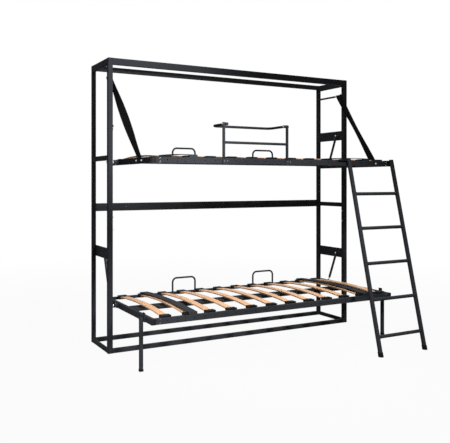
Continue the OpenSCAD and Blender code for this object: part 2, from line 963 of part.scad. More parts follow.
module upper_bolts() {
    clamp_x = bed_half + strap_t + 2 * face_gap + clamp_t;
    color(steel) {
        in_upper()
            both_ends()
                for (side = [-1, 1])
                    translate([clamp_x, strap_low_y + side * (clamp_l - clamp_ear) / 2, rail_mid])
                        rotate([0, 90, 0])
                            pan_head(big_head);
        at_posts()
            for (x = bracket_screws)
                translate([x, bed_front - bracket_t - guard_y, -rail_mid])
                    rotate([90, 0, 0])
                        pan_head(small_head);
        in_upper()
            both_ends()
                for (side = [-1, 1])
                    translate([bed_half - corner_screw_x, bed_front, rail_mid + side * corner_screw_z])
                        rotate([90, 0, 0])
                            pan_head(small_head);
        in_upper()
            at_pivots(0)
                for (side = [-1, 1])
                    translate([bed_half + pivot_plate_t, pivot_screw_y, side * pivot_screw_z])
                        rotate([0, 90, 0])
                            pan_head(big_head);
    }
}

// Legs under the lower bed

module leg_brackets() {
    head_x = leg_x + leg_s / 2 + face_gap - bed_half;
    color(black)
        in_lower()
            both_ends()
                translate([bed_half, leg_y, rail_mid]) {
                    translate([0, -leg_bracket_l / 2, -rail_mid])
                        cube([pivot_plate_t, leg_bracket_l, bed_rail_h + leg_bracket_rise]);
                    translate([pivot_plate_t - cut, 0, 0])
                        rod_x(leg_pin_d, head_x - pivot_plate_t + cut);
                    translate([head_x, 0, 0])
                        rod_x(leg_pin_d + head_over, stud_head_t);
                }
}

module leg(side) {
    pin_z = lower_bed_z + rail_mid;
    color(black)
        translate([side * leg_x, leg_y, 0])
            difference() {
                union() {
                    translate([0, 0, leg_foot_h])
                        tube(leg_s, leg_s, pin_z + leg_top - leg_foot_h, leg_wall, tube_r / 2);
                    linear_extrude(leg_foot_h)
                        rounded_rect(leg_s + foot_over, leg_s + foot_over, tube_r);
                }
                translate([-leg_s, 0, pin_z])
                    rod_x(leg_pin_d + 2 * run_gap, 2 * leg_s);
            }
}

module left_leg() { leg(-1); }
module right_leg() { leg(1); }

// Gas struts, made along -Z from the stud and then tilted to meet the bed

// A strut is drawn for the right end and turned to its own side.
module strut_place(strut) {
    hang = strut[2];
    on_side(strut[1])
        translate([strut_x, pivot_y + hang[0], strut[0] + rail_mid + hang[1]])
            rotate([strut_tilt(hang), 0, 0])
                children();
}

module strut_tube(strut) {
    bore = strut_d - 2 * strut_wall;
    tube_l = strut_tube_l(strut[2]);
    color(plastic)
        strut_place(strut)
            difference() {
                union() {
                    translate([-eye_w / 2, 0, 0])
                        rod_x(eye_d, eye_w);
                    translate([0, 0, -strut_neck])
                        cylinder(d = neck_d, h = strut_neck);
                    translate([0, 0, -strut_neck - tube_l])
                        cylinder(d = strut_d, h = tube_l);
                }
                translate([-eye_w, 0, 0])
                    rod_x(stud_d + 2 * run_gap, 2 * eye_w);
                translate([0, 0, -strut_neck - tube_l + gland_l])
                    cylinder(d = bore, h = tube_l - 2 * gland_l);
                translate([0, 0, -strut_neck - tube_l - cut])
                    cylinder(d = strut_rod_d + 2 * run_gap, h = gland_l + 2 * cut);
            }
}

module strut_rod(strut) {
    bore = strut_d - 2 * strut_wall;
    len = strut_len(strut[2]);
    rod_top = -strut_neck - gland_l - piston_rest;
    tip_l = strut_x - bed_half - pivot_plate_t - face_gap;
    color(steel)
        strut_place(strut) {
            translate([0, 0, -len])
                cylinder(d = strut_rod_d, h = len + rod_top);
            translate([0, 0, rod_top - piston_l])
                cylinder(d = bore - 2 * piston_gap, h = piston_l);
            translate([0, 0, -len])
                cylinder(d = rod_fitting_d, h = rod_eye_d / 2 + neck_l);
            translate([-eye_w / 2, 0, -len])
                rod_x(rod_eye_d, eye_w);
            translate([-tip_l, 0, -len])
                rod_x(stud_d, tip_l);
        }
}

module upper_left_strut_tube() { strut_tube(struts[0]); }
module upper_left_strut_rod() { strut_rod(struts[0]); }
module upper_right_strut_tube() { strut_tube(struts[1]); }
module upper_right_strut_rod() { strut_rod(struts[1]); }
module lower_left_strut_tube() { strut_tube(struts[2]); }
module lower_left_strut_rod() { strut_rod(struts[2]); }
module lower_right_strut_tube() { strut_tube(struts[3]); }
module lower_right_strut_rod() { strut_rod(struts[3]); }

// Ladder, hooked over the upper bed's front rail

function ladder_y(z) = ladder_top_y - (ladder_top_z - z) * tan(ladder_lean);

// A leaning round bar between two heights, cut level at both
module leaning_bar(d, z0, z1) {
    reach = (z1 - z0) / cos(ladder_lean) + 2 * d;
    intersection() {
        translate([0, ladder_y(z0), z0])
            rotate([-ladder_lean, 0, 0])
                translate([0, 0, -d])
                    cylinder(d = d, h = reach);
        translate([-d, ladder_y(z0) - d, z0])
            cube([2 * d, ladder_y(z1) - ladder_y(z0) + 2 * d, z1 - z0]);
    }
}

// A tube that is closed at the top, on its foot
module stile() {
    top_z = ladder_top_z + ladder_top_over;
    difference() {
        leaning_bar(stile_d, ladder_foot_h, top_z);
        leaning_bar(stile_d - 2 * stile_wall, ladder_foot_h - cut, top_z - stile_wall);
    }
}

// An arm along the rail from the stile to the hook, and the hook over the rail with its lip behind it
module ladder_hook(stile_x, hook_x) {
    plate_z = ladder_top_z + face_gap;
    arm_x = min(stile_x, hook_x) - ladder_hook_w / 2;
    arm_l = abs(hook_x - stile_x) + ladder_hook_w;
    back_y = bed_front + bed_rail_t + face_gap;
    translate([arm_x, ladder_top_y, plate_z])
        cube([arm_l, bed_front + rail_free - ladder_top_y, ladder_hook_t]);
    translate([hook_x - ladder_hook_w / 2, ladder_top_y, plate_z])
        cube([ladder_hook_w, back_y + ladder_hook_t - ladder_top_y, ladder_hook_t]);
    translate([hook_x - ladder_hook_w / 2, back_y, plate_z - ladder_lip])
        cube([ladder_hook_w, ladder_hook_t, ladder_lip + cut]);
}

// Each side is a stile with its hook and its foot
module ladder_side() {
    color(black)
        for (side = [[ladder_x0, hook_x0], [ladder_x1, hook_x1]]) {
            translate([side[0], 0, 0]) {
                stile();
                leaning_bar(ladder_foot_d, 0, ladder_foot_h);
            }
            ladder_hook(side[0], side[1]);
        }
}

module ladder_rungs() {
    color(black)
        for (i = [0 : rung_count - 1]) {
            z = rung_first + i * rung_pitch;
            difference() {
                translate([ladder_x0, ladder_y(z), z])
                    rod_x(rung_d, ladder_w);
                for (x = [ladder_x0, ladder_x1])
                    translate([x, ladder_y(z), z])
                        rotate([-ladder_lean, 0, 0])
                            cylinder(d = stile_d, h = 3 * rung_d, center = true);
            }
        }
}

// Straps of flat webbing, looped over their bar and clamped to the bed's end rail

module strap(side) {
    loop_d = strap_bar_d + 2 * face_gap;
    top_x = strap_bar_x - loop_d / 2 - strap_t;
    low_x = bed_half + face_gap;
    low_z = upper_bed_z + rail_mid - clamp_h / 2;
    bend_z = low_z + clamp_h + strap_bend;
    color(webbing)
        on_side(side) {
            translate([strap_bar_x, strap_top_y - strap_w / 2, strap_bar_z])
                difference() {
                    rod_y(loop_d + 2 * strap_t, strap_w);
                    translate([0, -cut, 0])
                        rod_y(loop_d, strap_w + 2 * cut);
                }
            hull() {
                translate([top_x, strap_top_y - strap_w / 2, strap_bar_z - strap_slice])
                    cube([strap_t, strap_w, strap_slice]);
                translate([low_x, strap_low_y - strap_w / 2, bend_z])
                    cube([strap_t, strap_w, strap_slice]);
            }
            translate([low_x, strap_low_y - strap_w / 2, low_z])
                cube([strap_t, strap_w, bend_z - low_z + strap_slice]);
        }
}

module left_strap() { strap(-1); }
module right_strap() { strap(1); }

front_uprights();
rear_uprights();
top_front_rail();
top_rear_rail();
mid_rear_rail();
bottom_front_rail();
bottom_rear_rail();
top_end_rails();
end_bars();
bottom_end_rails();
strut_plates();
strap_bars();
strap_collars();
pivot_bolts();
strut_studs();
latch_studs();
upper_front_rail();
upper_rear_rail();
upper_end_rails();
upper_corner_blocks();
upper_centre_beam();
upper_slats();
upper_slat_holders();
upper_cross_bars();
upper_mattress_hoops();
upper_pivot_plates();
upper_pivot_bushes();
guard_posts();
guard_mid_rail();
guard_brackets();
guard_pins();
strap_clamps();
upper_bolts();
lower_front_rail();
lower_rear_rail();
lower_end_rails();
lower_corner_blocks();
lower_centre_beam();
lower_slats();
lower_slat_holders();
lower_cross_bars();
lower_mattress_hoops();
lower_pivot_plates();
lower_pivot_bushes();
leg_brackets();
left_leg();
right_leg();
upper_left_strut_tube();
upper_left_strut_rod();
upper_right_strut_tube();
upper_right_strut_rod();
lower_left_strut_tube();
lower_left_strut_rod();
lower_right_strut_tube();
lower_right_strut_rod();
guard_hoop();
ladder_side();
ladder_rungs();
left_strap();
right_strap();
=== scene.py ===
"""Dresses the two-level fold down wall bed mechanism.

Adds finishes, webbing straps, weld beads and screws, and sets the light and the photograph's camera.
"""

import json
import math
import random

import bmesh
import bpy
from mathutils import Matrix, Vector


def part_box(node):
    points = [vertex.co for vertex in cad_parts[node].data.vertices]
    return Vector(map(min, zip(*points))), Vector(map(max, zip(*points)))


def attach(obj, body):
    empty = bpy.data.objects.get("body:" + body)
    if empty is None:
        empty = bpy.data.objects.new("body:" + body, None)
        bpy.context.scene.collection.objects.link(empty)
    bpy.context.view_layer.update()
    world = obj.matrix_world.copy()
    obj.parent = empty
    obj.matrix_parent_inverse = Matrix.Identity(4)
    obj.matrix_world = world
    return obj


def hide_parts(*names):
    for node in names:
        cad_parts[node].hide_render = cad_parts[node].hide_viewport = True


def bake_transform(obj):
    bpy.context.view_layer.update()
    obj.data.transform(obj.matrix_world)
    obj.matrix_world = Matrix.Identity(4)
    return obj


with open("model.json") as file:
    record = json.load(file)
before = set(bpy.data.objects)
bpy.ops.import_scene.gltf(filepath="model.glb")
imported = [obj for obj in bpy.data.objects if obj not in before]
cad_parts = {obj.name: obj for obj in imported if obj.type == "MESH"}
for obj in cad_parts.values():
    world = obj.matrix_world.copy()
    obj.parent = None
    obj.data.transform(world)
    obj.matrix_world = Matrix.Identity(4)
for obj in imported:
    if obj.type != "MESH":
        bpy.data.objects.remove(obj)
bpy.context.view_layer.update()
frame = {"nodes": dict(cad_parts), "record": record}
nodes = frame["nodes"]

# The photograph's camera, fitted to the corners of the frame and of the beds
IMAGE_W = 450
IMAGE_H = 443
FOCAL_PX = 640.6
HORIZON_ROW = 182.2
CAMERA_AT = (-2.534, -4.756, 1.216)
CAMERA_YAW = math.radians(28.79)
CAMERA_REACH = 100
SENSOR_MM = 36.0

# Colours of the finishes that vary, from dark to pale
COAT_DARK = (0.0290, 0.0315, 0.0360)
COAT_PALE = (0.0370, 0.0400, 0.0455)
PLASTIC_DARK = (0.010, 0.010, 0.011)
PLASTIC_PALE = (0.017, 0.017, 0.018)
STRUT_DARK = (0.012, 0.012, 0.013)
STRUT_PALE = (0.018, 0.018, 0.020)
# Painted shade: near-black hexagons on the screw heads stand for the shadow inside their hex sockets
SOCKET_SHADE_DARK = (0.006, 0.006, 0.007)
SOCKET_SHADE_PALE = (0.010, 0.010, 0.011)
WEBBING_DARK = (0.0045, 0.0045, 0.005)
WEBBING_PALE = (0.011, 0.011, 0.012)
THREAD_DARK = (0.025, 0.025, 0.027)
THREAD_PALE = (0.06, 0.06, 0.063)
BEECH_DARK = (0.735, 0.385, 0.194)
BEECH_PALE = (0.855, 0.538, 0.312)

# Single colours, and how much paler the clouds in a zinc plate are
BEECH_FLECK = (0.39, 0.200, 0.105)
BEECH_AGED = (0.61, 0.335, 0.183)
RUBBER = (0.012, 0.012, 0.012)
ZINC = (0.42, 0.425, 0.44)
DULL_ZINC = (0.11, 0.112, 0.118)
GROUND_STEEL = (0.50, 0.505, 0.52)
FLOOR_GREY = (0.25, 0.25, 0.25)
WHITE = (1, 1, 1)
ZINC_CLOUD = 1.12

# Roughness, as the range over a surface or as one value, and what rubber adds to the coat's
COAT_ROUGH = (0.50, 0.62)
PLASTIC_ROUGH = (0.42, 0.56)
STRUT_ROUGH = (0.26, 0.36)
BEECH_ROUGH = (0.40, 0.56)
ZINC_ROUGH = (0.24, 0.38)
DULL_ZINC_ROUGH = (0.34, 0.48)
GROUND_ROUGH = (0.12, 0.20)
WEBBING_ROUGH = 0.72
THREAD_ROUGH = 0.6
FLOOR_ROUGH = 0.9
RUBBER_ADDS = 0.4

# Specular level, low where the photo's black mirrors almost nothing of its white room
COAT_GLOSS = 0.008
PLASTIC_GLOSS = 0.05
STRUT_GLOSS = 0.2
BEECH_GLOSS = 0.12
WEBBING_GLOSS = 0.02
FLOOR_GLOSS = 0.1

# Tops of the rubber feet above the floor, in metres
LADDER_FOOT_TOP = 0.030
LEG_FOOT_TOP = 0.014

# Wood: distance between slats, which lie evenly on both sides of the middle, and shares in the mix
SLAT_PITCH = 0.162
FIBRE_SHARE = 0.6
FLECK_SHARE = 0.45
AGED_SHARE = 0.24

# Weave: pitch of the ribs along and the picks across, in metres, and shares and range in the mottle
WARP_PITCH = 0.0021
WEFT_PITCH = 0.0016
RIB_SHARE = 0.5
WEAVE_SPAN = 1.2
WEAVE_SHARE = 0.6

# Sockets of a Mix node that mixes colours
MIX_FACTOR = 0
MIX_FIRST = 6
MIX_SECOND = 7
MIX_RESULT = 2

# Webbing, in metres: size, sewn tail, length in the clamp, and gaps to what holds it
STRAP_W = 0.062
STRAP_T = 0.0022
STRAP_TAIL = 0.085
STRAP_CLAMPED = 0.026
TAIL_OPENS = 0.045
TAIL_APART = 1.05 * STRAP_T
BAR_GAP = 0.0006
CLAMP_PLATE_T = 0.004
CLAMP_GAP = 0.0009

# Stations along the webbing, and its outline across: places and the thickness left at the edge
TAIL_STEPS = 7
WRAP_STEPS = 12
RUN_STEPS = 44
CLAMP_STEPS = 4
ACROSS = (-1, -0.96, -0.8, -0.4, 0, 0.4, 0.8, 0.96, 1)
SELVEDGE_SHARE = 0.45

# Heights below the bar and above the clamp at which two points on each strap are worked out, and nothing
# uses them
KEEPS_TO_FRAME = 0.1
KEEPS_TO_BED = 0.02

# How far the free length of each strap turns about its own run
LEFT_TWIST = math.radians(-34)
RIGHT_TWIST = math.radians(18)

# Sewn box: distance below the bar, length and distance from the webbing's edges, in metres
SEAM_BELOW_BAR = 0.040
SEAM_L = 0.036
SEAM_EDGE = 0.006

# Stitches: length and radius in metres, pitch as a share of length, and how they rise, dip and taper
STITCH_L = 0.0042
STITCH_R = 0.00055
STITCH_PITCH = 1.35
STITCH_RISE = 0.9
STITCH_DIP = 1.3
STITCH_TAPER = 0.35
STITCH_SIDES = 6

# Weld beads, in metres
BEAD_LEG = 0.0032
RUNG_BEAD_LEG = 0.0028
HOOP_BEAD_LEG = 0.0018
RIPPLE = 0.0026
BEAD_INSET = 0.0035

# Shares of a bead's size: ripple, chance, thin ends and root. Steps in a ripple and across the arc
RIPPLE_SHARE = 0.13
CHANCE_SHARE = 0.05
END_SHARE = 0.45
ROOT_SHARE = 0.2
RIPPLE_STEPS = 4
ARC_STEPS = 5

# Seeds of the beads' chance
FRAME_SEED = 11
LADDER_SEED = 12
GUARD_SEED = 13
HOOP_SEED = 14

# Part of a hoop's foot that is welded
FOOT_FROM = math.radians(135)
FOOT_TURN = 1.5 * math.pi

# Middle lines and radius of the ladder's stiles
LADDER_X0 = 0.565
LADDER_X1 = 0.985
STILE_R = 0.016

# Painted shade of the hex sockets, a dark hexagon on each head: thickness, and radius as a share of the
# head's diameter
SOCKET_T = 0.0002
SOCKET_SHARE = 0.22
SOCKET_SIDES = 6

# Outline of a pan head: share of its height, share of its radius
HEAD_PROFILE = ((0, 1), (0.45, 0.97), (0.8, 0.86), (1, 0.7))
HEAD_SIDES = 24

# Pale bolt on the upper front rail: distance from the rail's right end, diameter and height
RAIL_BOLT_IN = 0.128
RAIL_BOLT_D = 0.014
RAIL_BOLT_H = 0.004

# Floor: size, drop below the feet, white share near the object, and where that share grows to all
FLOOR_SIZE = 60.0
FLOOR_DROP = 0.001
FLOOR_NEAR = 0.955
FADE_FROM = 2.0
FADE_TO = 5.5

# Light from all round, and radius of the spot lamps
AMBIENT = 0.08
LAMP_R = 0.25


# Node helpers

def new_material(name):
    mat = bpy.data.materials.new(name)
    mat.use_nodes = True
    return mat, mat.node_tree, mat.node_tree.nodes["Principled BSDF"]


def add_node(tree, kind, inputs=None, **settings):
    node = tree.nodes.new(kind)
    for key, value in settings.items():
        setattr(node, key, value)
    for key, value in (inputs or {}).items():
        node.inputs[key].default_value = value
    return node


def object_coords(tree, scale=(1, 1, 1)):
    coords = add_node(tree, "ShaderNodeTexCoord")
    mapping = add_node(tree, "ShaderNodeMapping", {"Scale": scale})
    tree.links.new(coords.outputs["Object"], mapping.inputs["Vector"])
    return mapping.outputs["Vector"]


def split_vector(tree, vector):
    node = add_node(tree, "ShaderNodeSeparateXYZ")
    tree.links.new(vector, node.inputs["Vector"])
    return node.outputs


def noise(tree, vector, scale, detail=2.0, roughness=0.5):
    node = add_node(tree, "ShaderNodeTexNoise", {"Scale": scale, "Detail": detail, "Roughness": roughness})
    tree.links.new(vector, node.inputs["Vector"])
    return node.outputs["Fac"]


def spread(tree, value, low, high, start=0.3, stop=0.7):
    """Maps start to low and stop to high, and keeps to that range."""
    node = add_node(
        tree, "ShaderNodeMapRange",
        {"From Min": start, "From Max": stop, "To Min": low, "To Max": high})
    tree.links.new(value, node.inputs["Value"])
    return node.outputs["Result"]


def mix_colours(tree, factor, first, second):
    node = add_node(tree, "ShaderNodeMix", data_type="RGBA")
    for socket, colour in ((node.inputs[MIX_FIRST], first), (node.inputs[MIX_SECOND], second)):
        if isinstance(colour, tuple):
            socket.default_value = (*colour, 1)
        else:
            tree.links.new(colour, socket)
    tree.links.new(factor, node.inputs[MIX_FACTOR])
    return node.outputs[MIX_RESULT]


def combine(tree, operation, first, second=0):
    node = add_node(tree, "ShaderNodeMath", operation=operation)
    for socket, value in zip(node.inputs, (first, second)):
        if isinstance(value, (int, float)):
            socket.default_value = value
        else:
            tree.links.new(value, socket)
    return node.outputs["Value"]


def bump(tree, shader, height, strength, distance):
    node = add_node(tree, "ShaderNodeBump", {"Strength": strength, "Distance": distance})
    tree.links.new(height, node.inputs["Height"])
    tree.links.new(node.outputs["Normal"], shader.inputs["Normal"])


def seen_rays(tree):
    """1 for rays that show a surface to the camera, directly, mirrored or through glass, else 0."""
    path = add_node(tree, "ShaderNodeLightPath")
    seen = combine(tree, "MAXIMUM", path.outputs["Is Camera Ray"], path.outputs["Is Glossy Ray"])
    return combine(tree, "MAXIMUM", seen, path.outputs["Is Transmission Ray"])


# Finishes

def coat_material(name, dark, pale, rough=COAT_ROUGH, gloss=COAT_GLOSS):
    """Satin powder coat: an orange-peel skin, clouded gloss and a slightly uneven black."""
    mat, tree, shader = new_material(name)
    coords = object_coords(tree)
    cloud = noise(tree, coords, scale=2.3, detail=3)
    tone = mix_colours(tree, spread(tree, cloud, 0, 1), dark, pale)
    tree.links.new(tone, shader.inputs["Base Color"])
    patches = noise(tree, coords, scale=7.0, detail=3)
    tree.links.new(spread(tree, patches, *rough), shader.inputs["Roughness"])
    shader.inputs["Specular IOR Level"].default_value = gloss
    bump(tree, shader, noise(tree, coords, scale=520.0), strength=0.10, distance=0.0006)
    return mat


def footed_coat_material(name, foot_top):
    """The powder coat above foot_top, and dull black rubber below it."""
    mat = coat_material(name, COAT_DARK, COAT_PALE)
    tree = mat.node_tree
    shader = tree.nodes["Principled BSDF"]
    above = combine(tree, "GREATER_THAN", split_vector(tree, object_coords(tree))["Z"], foot_top)
    coat_tone = shader.inputs["Base Color"].links[0].from_socket
    coat_rough = shader.inputs["Roughness"].links[0].from_socket
    tree.links.new(mix_colours(tree, above, RUBBER, coat_tone), shader.inputs["Base Color"])
    below = combine(tree, "SUBTRACT", 1, above)
    rough = combine(tree, "ADD", coat_rough, combine(tree, "MULTIPLY", below, RUBBER_ADDS))
    tree.links.new(rough, shader.inputs["Roughness"])
    return mat


def plastic_material():
    """Moulded black plastic with a fine eroded grain."""
    mat, tree, shader = new_material("moulded_plastic")
    coords = object_coords(tree)
    cloud = noise(tree, coords, scale=18.0)
    tone = mix_colours(tree, spread(tree, cloud, 0, 1), PLASTIC_DARK, PLASTIC_PALE)
    tree.links.new(tone, shader.inputs["Base Color"])
    patches = noise(tree, coords, scale=60.0)
    tree.links.new(spread(tree, patches, *PLASTIC_ROUGH), shader.inputs["Roughness"])
    shader.inputs["Specular IOR Level"].default_value = PLASTIC_GLOSS
    bump(tree, shader, noise(tree, coords, scale=1400.0, detail=3), strength=0.16, distance=0.0004)
    return mat


def along_slat(tree, stretch):
    return object_coords(tree, (1, stretch, 1))


def beech_material():
    """Bent beech: long grain along the slat, short dark flecks and a tone of its own for each slat."""
    mat, tree, shader = new_material("beech")
    fibre = noise(tree, along_slat(tree, stretch=0.045), scale=55.0, detail=6, roughness=0.62)
    broad = noise(tree, along_slat(tree, stretch=0.12), scale=9.0, detail=3)
    fine_part = combine(tree, "MULTIPLY", fibre, FIBRE_SHARE)
    grain = combine(tree, "ADD", fine_part, combine(tree, "MULTIPLY", broad, 1 - FIBRE_SHARE))
    wood = mix_colours(tree, spread(tree, grain, 0, 1, start=0.36, stop=0.64), BEECH_DARK, BEECH_PALE)
    specks = noise(tree, along_slat(tree, stretch=0.09), scale=420.0)
    flecks = combine(tree, "MULTIPLY", spread(tree, specks, 0, 1, start=0.63, stop=0.72), FLECK_SHARE)
    flecked = mix_colours(tree, flecks, wood, BEECH_FLECK)
    from_middle = combine(tree, "SUBTRACT", split_vector(tree, object_coords(tree))["X"], SLAT_PITCH / 2)
    slat_number = combine(tree, "ROUND", combine(tree, "DIVIDE", from_middle, SLAT_PITCH))
    own = add_node(tree, "ShaderNodeTexWhiteNoise", noise_dimensions="1D")
    tree.links.new(slat_number, own.inputs["W"])
    aged = combine(tree, "MULTIPLY", own.outputs["Value"], AGED_SHARE)
    tree.links.new(mix_colours(tree, aged, flecked, BEECH_AGED), shader.inputs["Base Color"])
    tree.links.new(spread(tree, fibre, *BEECH_ROUGH), shader.inputs["Roughness"])
    shader.inputs["Specular IOR Level"].default_value = BEECH_GLOSS
    bump(tree, shader, fibre, strength=0.18, distance=0.0005)
    return mat


def zinc_material(name, colour, rough):
    """Plated or ground steel with a slight cloud and a fine grain."""
    mat, tree, shader = new_material(name)
    coords = object_coords(tree)
    paler = tuple(min(1.0, c * ZINC_CLOUD) for c in colour)
    cloud = noise(tree, coords, scale=45.0, detail=3)
    tone = mix_colours(tree, spread(tree, cloud, 0, 1), colour, paler)
    tree.links.new(tone, shader.inputs["Base Color"])
    shader.inputs["Metallic"].default_value = 1.0
    patches = noise(tree, coords, scale=160.0)
    tree.links.new(spread(tree, patches, *rough), shader.inputs["Roughness"])
    bump(tree, shader, noise(tree, coords, scale=1800.0), strength=0.08, distance=0.0002)
    return mat


def webbing_material():
    """Woven polyester: warp ribs along the strap and weft picks across it, over a mottled black."""
    mat, tree, shader = new_material("webbing")
    uv = add_node(tree, "ShaderNodeUVMap", uv_map="UVMap")
    place = split_vector(tree, uv.outputs["UV"])
    warp = combine(tree, "SINE", combine(tree, "MULTIPLY", place["X"], 2 * math.pi / WARP_PITCH))
    weft = combine(tree, "SINE", combine(tree, "MULTIPLY", place["Y"], 2 * math.pi / WEFT_PITCH))
    crossed = combine(tree, "MULTIPLY", warp, weft)
    weave = combine(tree, "ADD", crossed, combine(tree, "MULTIPLY", warp, RIB_SHARE))
    raised = spread(tree, weave, 0, WEAVE_SHARE, start=-WEAVE_SPAN, stop=WEAVE_SPAN)
    cloud = spread(tree, noise(tree, object_coords(tree), scale=30.0), 0, 1 - WEAVE_SHARE)
    tone = mix_colours(tree, combine(tree, "ADD", raised, cloud), WEBBING_DARK, WEBBING_PALE)
    tree.links.new(tone, shader.inputs["Base Color"])
    shader.inputs["Roughness"].default_value = WEBBING_ROUGH
    shader.inputs["Specular IOR Level"].default_value = WEBBING_GLOSS
    bump(tree, shader, weave, strength=0.5, distance=0.0004)
    return mat


def thread_material():
    """Sewing thread, a little paler than the webbing."""
    mat, tree, shader = new_material("thread")
    coords = object_coords(tree)
    tone = mix_colours(tree, noise(tree, coords, scale=900.0), THREAD_DARK, THREAD_PALE)
    tree.links.new(tone, shader.inputs["Base Color"])
    shader.inputs["Roughness"].default_value = THREAD_ROUGH
    bump(tree, shader, noise(tree, coords, scale=2600.0), strength=0.3, distance=0.0002)
    return mat


coat = coat_material("powder_coat", COAT_DARK, COAT_PALE)
leg_coat = footed_coat_material("leg_coat", LEG_FOOT_TOP)
ground_rod = zinc_material("ground_rod", GROUND_STEEL, GROUND_ROUGH)
# Painted shade for the hex sockets, in a near-black coat
socket_shade = coat_material("socket_shade", SOCKET_SHADE_DARK, SOCKET_SHADE_PALE)
dull_zinc = zinc_material("dull_zinc", DULL_ZINC, DULL_ZINC_ROUGH)
finishes = {
    "black_coat": coat,
    "black_plastic": plastic_material(),
    "black_strut": coat_material("strut_paint", STRUT_DARK, STRUT_PALE, STRUT_ROUGH, STRUT_GLOSS),
    "zinc_steel": zinc_material("zinc_plate", ZINC, ZINC_ROUGH),
    "beech": beech_material(),
    "webbing": webbing_material(),
    "thread": thread_material(),
}
special = {
    "ladder_side": footed_coat_material("ladder_coat", LADDER_FOOT_TOP),
    "left_leg": leg_coat,
    "right_leg": leg_coat,
}
for rod in [n for n in nodes if n.endswith("_strut_rod")]:
    special[rod] = ground_rod

for part in frame["record"]["subparts"]:
    obj = nodes[part["node"]]
    finish = special.get(part["node"]) or finishes[part["material_slot"]]
    obj.data.materials.clear()
    obj.data.materials.append(finish)


# Mesh helpers

def make_piece(name, mesh_builder, finish, smooth=True):
    """A new object from a bmesh that mesh_builder fills."""
    bm = bmesh.new()
    mesh_builder(bm)
    bmesh.ops.recalc_face_normals(bm, faces=bm.faces)
    mesh = bpy.data.meshes.new(name)
    bm.to_mesh(mesh)
    bm.free()
    mesh.materials.append(finish)
    obj = bpy.data.objects.new(name, mesh)
    bpy.context.scene.collection.objects.link(obj)
    for polygon in mesh.polygons:
        polygon.use_smooth = smooth
    return obj


def skin_rings(bm, rings, closed_ends=True):
    """Quads between rings of equal length, each ring closed on itself."""
    made = [[bm.verts.new(p) for p in ring] for ring in rings]
    count = len(made[0])
    for first, second in zip(made, made[1:]):
        for i in range(count):
            j = (i + 1) % count
            bm.faces.new((first[i], first[j], second[j], second[i]))
    if closed_ends:
        bm.faces.new(list(reversed(made[0])))
        bm.faces.new(made[-1])
    return made


def solids(node):
    """Low and high corner of each separate solid of a node."""
    obj = nodes[node]
    places = [tuple(round(c, ndigits=5) for c in obj.matrix_world @ v.co) for v in obj.data.vertices]
    group = {p: p for p in places}

    def root(p):
        while group[p] != p:
            group[p] = group[group[p]]
            p = group[p]
        return p

    for polygon in obj.data.polygons:
        first = root(places[polygon.vertices[0]])
        for vertex in polygon.vertices[1:]:
            group[root(places[vertex])] = first
    found = {}
    for p in group:
        found.setdefault(root(p), []).append(p)
    corners = []
    for points in found.values():
        low = Vector(min(p[axis] for p in points) for axis in range(3))
        high = Vector(max(p[axis] for p in points) for axis in range(3))
        corners.append((low, high))
    return sorted(corners, key=lambda c: (round(c[0].z, ndigits=3), c[0].x))


# Straps

def strap_path(side):
    """Centre points of the webbing from its sewn tail, round the bar and down to the clamp.

    Also the two ends of its straight run, with x as at the right end of the bed.
    """
    strap_low, strap_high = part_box("right_strap" if side > 0 else "left_strap")
    clamp_low, clamp_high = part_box("strap_clamps")
    bars_low, bars_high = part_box("strap_bars")
    bar_r = (bars_high.z - bars_low.z) / 2
    bar_z = (bars_high.z + bars_low.z) / 2
    bar_x = bars_high.x - bar_r
    wrap_r = bar_r + BAR_GAP + STRAP_T / 2
    top_y = strap_high.y - STRAP_W / 2
    low_y = (clamp_low.y + clamp_high.y) / 2
    low_x = clamp_high.x - CLAMP_PLATE_T - CLAMP_GAP - STRAP_T / 2
    low_z = strap_low.z
    bend_z = low_z + STRAP_CLAMPED
    start = Vector((bar_x - wrap_r, top_y, bar_z))
    stop = Vector((low_x, low_y, bend_z))
    points = []
    # The tail lies on the outer side of the band and opens round the bar
    run = (stop - start).normalized()
    for i in range(TAIL_STEPS):
        down = STRAP_TAIL * (1 - i / TAIL_STEPS)
        opened = max(0.0, 1 - down / TAIL_OPENS)
        eased = opened * opened * (3 - 2 * opened)
        outward = TAIL_APART + eased * (2 * wrap_r - STRAP_T)
        points.append(start + run * down + Vector((outward, 0, 0)))
    # Round the bar, from its outer side over the top to its inner side
    for i in range(1, WRAP_STEPS + 1):
        turn = math.pi * i / WRAP_STEPS
        points.append(Vector((bar_x + wrap_r * math.cos(turn), top_y, bar_z + wrap_r * math.sin(turn))))
    # Straight down to the clamp, and level with its plates there
    for i in range(1, RUN_STEPS + 1):
        points.append(start.lerp(stop, i / RUN_STEPS))
    for i in range(1, CLAMP_STEPS + 1):
        points.append(Vector((low_x, low_y, bend_z - (bend_z - low_z) * i / CLAMP_STEPS)))
    if side < 0:
        points = [Vector((-p.x, p.y, p.z)) for p in points]
    return points, start, stop


def strap_frames(points, twist, free_from, free_to):
    """Each point with its direction, its width direction and the normal of its flat face."""
    frames = []
    level = Vector((0, 1, 0))
    for i, p in enumerate(points):
        ahead = points[min(i + 1, len(points) - 1)]
        behind = points[max(i - 1, 0)]
        direction = (ahead - behind).normalized()
        width = (level - direction * level.dot(direction)).normalized()
        along = min(1.0, max(0.0, (i - free_from) / (free_to - free_from)))
        turned = twist * math.sin(math.pi * along) ** 2
        width = Matrix.Rotation(turned, 3, direction) @ width
        frames.append((p, direction, width, direction.cross(width).normalized()))
    return frames


def strap_section(half_w, half_t):
    """Outline of the webbing across its width: flat faces with thinner selvedges."""
    top = [(a * half_w, half_t * (SELVEDGE_SHARE if abs(a) == 1 else 1.0)) for a in ACROSS]
    return top + [(a, -b) for a, b in reversed(top)]


